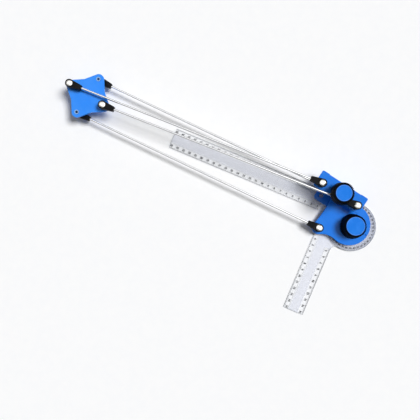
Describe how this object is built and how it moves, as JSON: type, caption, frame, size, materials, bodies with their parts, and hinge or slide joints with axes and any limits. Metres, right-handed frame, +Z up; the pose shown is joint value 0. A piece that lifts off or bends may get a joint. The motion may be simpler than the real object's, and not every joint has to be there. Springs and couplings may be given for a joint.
{
  "type": "drafting machine",
  "caption": "Folding drafting machine: a board clamp, two parallel-rod arms joined by an elbow plate, and a protractor head that carries a clear L-shaped square.",
  "frame": {"origin": "on the upper face of the clamp's lower jaw, under the clamp screw's axis", "axes": "+X along the clamp's pivots, +Y towards its closed back, +Z up, out of the board"},
  "size_m": [0.5106, 0.1997, 0.0623],
  "materials": {
    "blue_plate": "gloss",
    "blue_cap": "satin",
    "black_moulding": "satin",
    "nickel_screw": "polished",
    "plated_steel": "plated",
    "polished_rod": "polished",
    "brass_insert": "machined",
    "nylon": "matte",
    "clear_acrylic": "clear"
  },
  "bodies": {
    "clamp": {"clamp_bracket": "blue_plate", "clamp_bush": "plated_steel", "clamp_pivot_screws": "nickel_screw", "clamp_pivot_washers": "plated_steel", "clamp_pivot_nuts": "plated_steel"},
    "pressure_pad": {"pressure_pad": "plated_steel"},
    "clamp_screw": {"clamp_screw": "plated_steel", "clamp_knob": "black_moulding", "clamp_knob_insert": "brass_insert", "clamp_knob_cap": "blue_cap"},
    "clamp_rod_a": {"clamp_rod_a": "polished_rod", "clamp_rod_a_clamp_end": "black_moulding", "clamp_rod_a_elbow_end": "black_moulding"},
    "clamp_rod_b": {"clamp_rod_b": "polished_rod", "clamp_rod_b_clamp_end": "black_moulding", "clamp_rod_b_elbow_end": "black_moulding"},
    "elbow": {"elbow_plate": "blue_plate", "elbow_screws": "nickel_screw", "elbow_nuts": "plated_steel", "elbow_upper_spacers": "nylon", "elbow_lower_spacers": "nylon", "elbow_rivets": "nickel_screw"},
    "head_rod_a": {"head_rod_a": "polished_rod", "head_rod_a_elbow_end": "black_moulding", "head_rod_a_head_end": "black_moulding"},
    "head_rod_b": {"head_rod_b": "polished_rod", "head_rod_b_elbow_end": "black_moulding", "head_rod_b_head_end": "black_moulding"},
    "head": {"head_plate": "blue_plate", "head_skirt": "blue_plate", "head_bush": "brass_insert", "head_pivot_screws": "nickel_screw", "head_pivot_washers": "plated_steel"},
    "square": {"l_square": "clear_acrylic", "protractor": "clear_acrylic", "hub_stud": "plated_steel", "hub_screws": "plated_steel"},
    "thrust_washer": {"thrust_washer": "nylon"},
    "head_knob": {"head_knob": "black_moulding", "head_knob_insert": "brass_insert", "head_knob_cap": "blue_cap"}
  },
  "joints": [
    {"name": "clamp_screw_travel", "type": "slide", "parent": "clamp", "child": "pressure_pad", "axis": [0, 0, 1], "range_m": [-0.0042, 0]},
    {"name": "clamp_knob_turn", "type": "hinge", "parent": "pressure_pad", "child": "clamp_screw", "pos_m": [0, 0, 0.02], "axis": [0, 0, 1], "range_deg": [-1510, 0]},
    {"name": "clamp_arm_swing", "type": "hinge", "parent": "clamp", "child": "clamp_rod_a", "pos_m": [-0.0295, 0, 0.0283], "axis": [0, 0, 1], "range_deg": [0, 155]},
    {"name": "clamp_arm_swing_b", "type": "hinge", "parent": "clamp", "child": "clamp_rod_b", "pos_m": [0.0295, 0, 0.0283], "axis": [0, 0, 1], "range_deg": [0, 155]},
    {"name": "elbow_swing", "type": "hinge", "parent": "clamp_rod_a", "child": "elbow", "pos_m": [-0.4214, -0.08011, 0.0283], "axis": [0, 0, 1], "range_deg": [-155, 0]},
    {"name": "head_arm_swing", "type": "hinge", "parent": "elbow", "child": "head_rod_a", "pos_m": [-0.3919, -0.10961, 0.0093], "axis": [0, 0, 1], "range_deg": [-88, 0]},
    {"name": "head_arm_swing_b", "type": "hinge", "parent": "elbow", "child": "head_rod_b", "pos_m": [-0.3919, -0.05061, 0.0093], "axis": [0, 0, 1], "range_deg": [-88, 0]},
    {"name": "head_swing", "type": "hinge", "parent": "head_rod_a", "child": "head", "pos_m": [0.0044, -0.0553, 0.0093], "axis": [0, 0, 1], "range_deg": [0, 88]},
    {"name": "square_turn", "type": "hinge", "parent": "head", "child": "square", "pos_m": [0.0444, -0.0258, 0], "axis": [0, 0, 1], "range_deg": [-180, 180]},
    {"name": "head_knob_lift", "type": "slide", "parent": "square", "child": "thrust_washer", "axis": [0, 0, 1], "range_m": [0, 0.000625]},
    {"name": "head_knob_turn", "type": "hinge", "parent": "thrust_washer", "child": "head_knob", "pos_m": [0.0444, -0.0258, 0.006], "axis": [0, 0, 1], "range_deg": [0, 180]}
  ],
  "couplings": [
    {"joint": "clamp_screw_travel", "follows": "clamp_knob_turn", "m_per_rad": 0.00015915},
    {"joint": "clamp_arm_swing_b", "follows": "clamp_arm_swing", "ratio": 1},
    {"joint": "elbow_swing", "follows": "clamp_arm_swing", "ratio": -1},
    {"joint": "head_arm_swing_b", "follows": "head_arm_swing", "ratio": 1},
    {"joint": "head_swing", "follows": "head_arm_swing", "ratio": -1},
    {"joint": "head_knob_lift", "follows": "head_knob_turn", "m_per_rad": 0.00019892}
  ]
}
